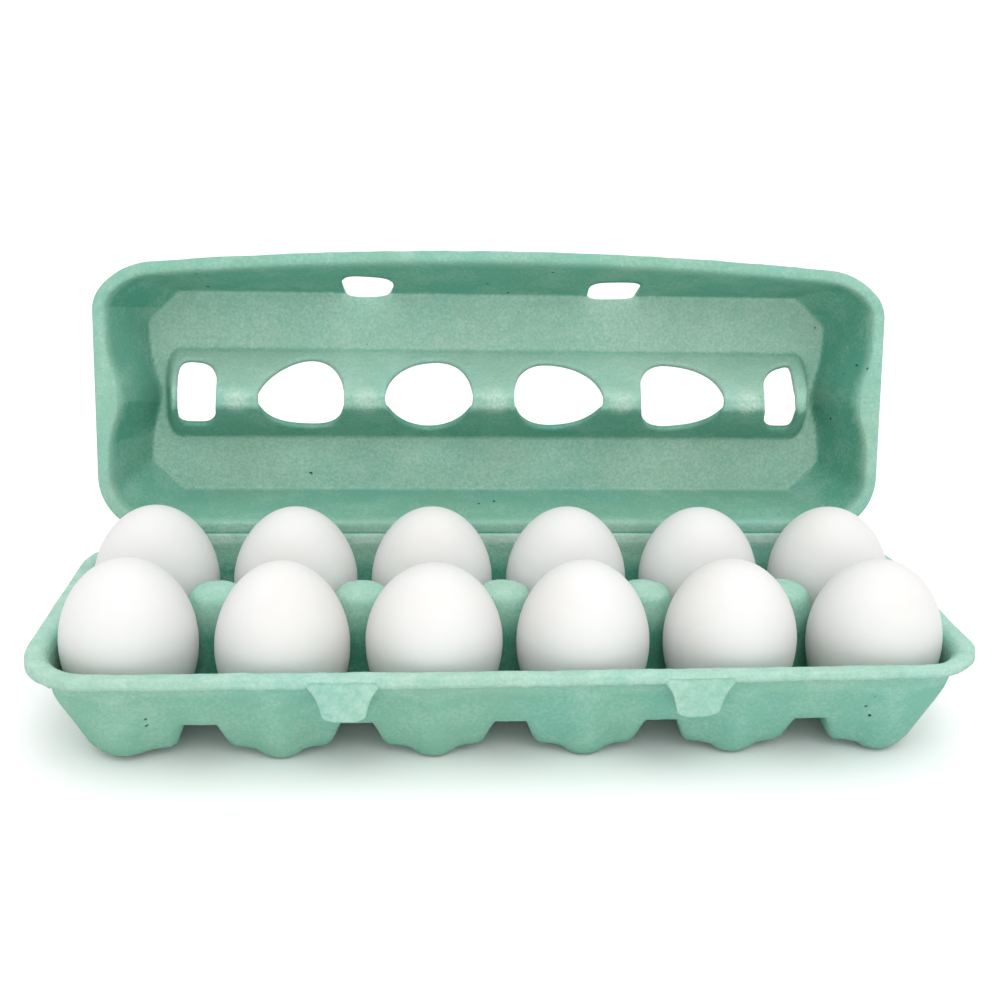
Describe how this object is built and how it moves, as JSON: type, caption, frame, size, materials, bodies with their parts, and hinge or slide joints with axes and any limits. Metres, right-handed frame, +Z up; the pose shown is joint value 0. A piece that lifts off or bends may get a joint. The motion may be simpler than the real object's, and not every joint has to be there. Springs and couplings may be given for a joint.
{
  "type": "egg carton",
  "caption": "Moulded pulp egg carton with its lid open: a tray of round cups, a windowed lid on a fold hinge, locking tongues and loose eggs.",
  "frame": {"origin": "centre of the open carton's box, at the table", "axes": "+X along the carton, +Y from the front flange towards the hinge, +Z up"},
  "size_m": [0.301, 0.155, 0.1444],
  "materials": {
    "pulp": "matte",
    "pale_pulp": "matte",
    "egg_shell": "satin"
  },
  "bodies": {
    "tray": {"cup_front_1": "pulp", "cup_front_2": "pulp", "cup_front_3": "pulp", "cup_front_4": "pulp", "cup_front_5": "pulp", "cup_front_6": "pulp", "cup_rear_1": "pulp", "cup_rear_2": "pulp", "cup_rear_3": "pulp", "cup_rear_4": "pulp", "cup_rear_5": "pulp", "cup_rear_6": "pulp", "post_1": "pulp", "post_2": "pulp", "post_3": "pulp", "post_4": "pulp", "post_5": "pulp", "tray_flange": "pale_pulp", "hinge_strip": "pale_pulp"},
    "lid": {"lid_ridge": "pulp", "lid_back": "pulp", "lid_front": "pulp", "lid_end_left": "pulp", "lid_end_right": "pulp"},
    "tongue_left": {"tongue_left": "pale_pulp"},
    "tongue_right": {"tongue_right": "pale_pulp"},
    "egg_front_1": {"egg_front_1": "egg_shell"},
    "egg_front_2": {"egg_front_2": "egg_shell"},
    "egg_front_3": {"egg_front_3": "egg_shell"},
    "egg_front_4": {"egg_front_4": "egg_shell"},
    "egg_front_5": {"egg_front_5": "egg_shell"},
    "egg_front_6": {"egg_front_6": "egg_shell"},
    "egg_rear_1": {"egg_rear_1": "egg_shell"},
    "egg_rear_2": {"egg_rear_2": "egg_shell"},
    "egg_rear_3": {"egg_rear_3": "egg_shell"},
    "egg_rear_4": {"egg_rear_4": "egg_shell"},
    "egg_rear_5": {"egg_rear_5": "egg_shell"},
    "egg_rear_6": {"egg_rear_6": "egg_shell"}
  },
  "joints": [
    {"name": "lid_hinge", "type": "hinge", "parent": "tray", "child": "lid", "pos_m": [0, 0.02845, 0.0413], "axis": [-1, 0, 0], "range_deg": [-104, 78]},
    {"name": "tongue_left_fold", "type": "hinge", "parent": "tray", "child": "tongue_left", "pos_m": [-0.0516, -0.07745, 0.0351], "axis": [-1, 0, 0], "range_deg": [0, 155]},
    {"name": "tongue_right_fold", "type": "hinge", "parent": "tray", "child": "tongue_right", "pos_m": [0.0564, -0.07745, 0.0351], "axis": [-1, 0, 0], "range_deg": [0, 155]},
    {"name": "egg_front_1_lift", "type": "slide", "parent": "tray", "child": "egg_front_1", "axis": [0, 0, 1], "range_m": [0, 0.06]},
    {"name": "egg_front_2_lift", "type": "slide", "parent": "tray", "child": "egg_front_2", "axis": [0, 0, 1], "range_m": [0, 0.06]},
    {"name": "egg_front_3_lift", "type": "slide", "parent": "tray", "child": "egg_front_3", "axis": [0, 0, 1], "range_m": [0, 0.06]},
    {"name": "egg_front_4_lift", "type": "slide", "parent": "tray", "child": "egg_front_4", "axis": [0, 0, 1], "range_m": [0, 0.06]},
    {"name": "egg_front_5_lift", "type": "slide", "parent": "tray", "child": "egg_front_5", "axis": [0, 0, 1], "range_m": [0, 0.06]},
    {"name": "egg_front_6_lift", "type": "slide", "parent": "tray", "child": "egg_front_6", "axis": [0, 0, 1], "range_m": [0, 0.06]},
    {"name": "egg_rear_1_lift", "type": "slide", "parent": "tray", "child": "egg_rear_1", "axis": [0, 0, 1], "range_m": [0, 0.06]},
    {"name": "egg_rear_2_lift", "type": "slide", "parent": "tray", "child": "egg_rear_2", "axis": [0, 0, 1], "range_m": [0, 0.06]},
    {"name": "egg_rear_3_lift", "type": "slide", "parent": "tray", "child": "egg_rear_3", "axis": [0, 0, 1], "range_m": [0, 0.06]},
    {"name": "egg_rear_4_lift", "type": "slide", "parent": "tray", "child": "egg_rear_4", "axis": [0, 0, 1], "range_m": [0, 0.06]},
    {"name": "egg_rear_5_lift", "type": "slide", "parent": "tray", "child": "egg_rear_5", "axis": [0, 0, 1], "range_m": [0, 0.06]},
    {"name": "egg_rear_6_lift", "type": "slide", "parent": "tray", "child": "egg_rear_6", "axis": [0, 0, 1], "range_m": [0, 0.06]}
  ]
}
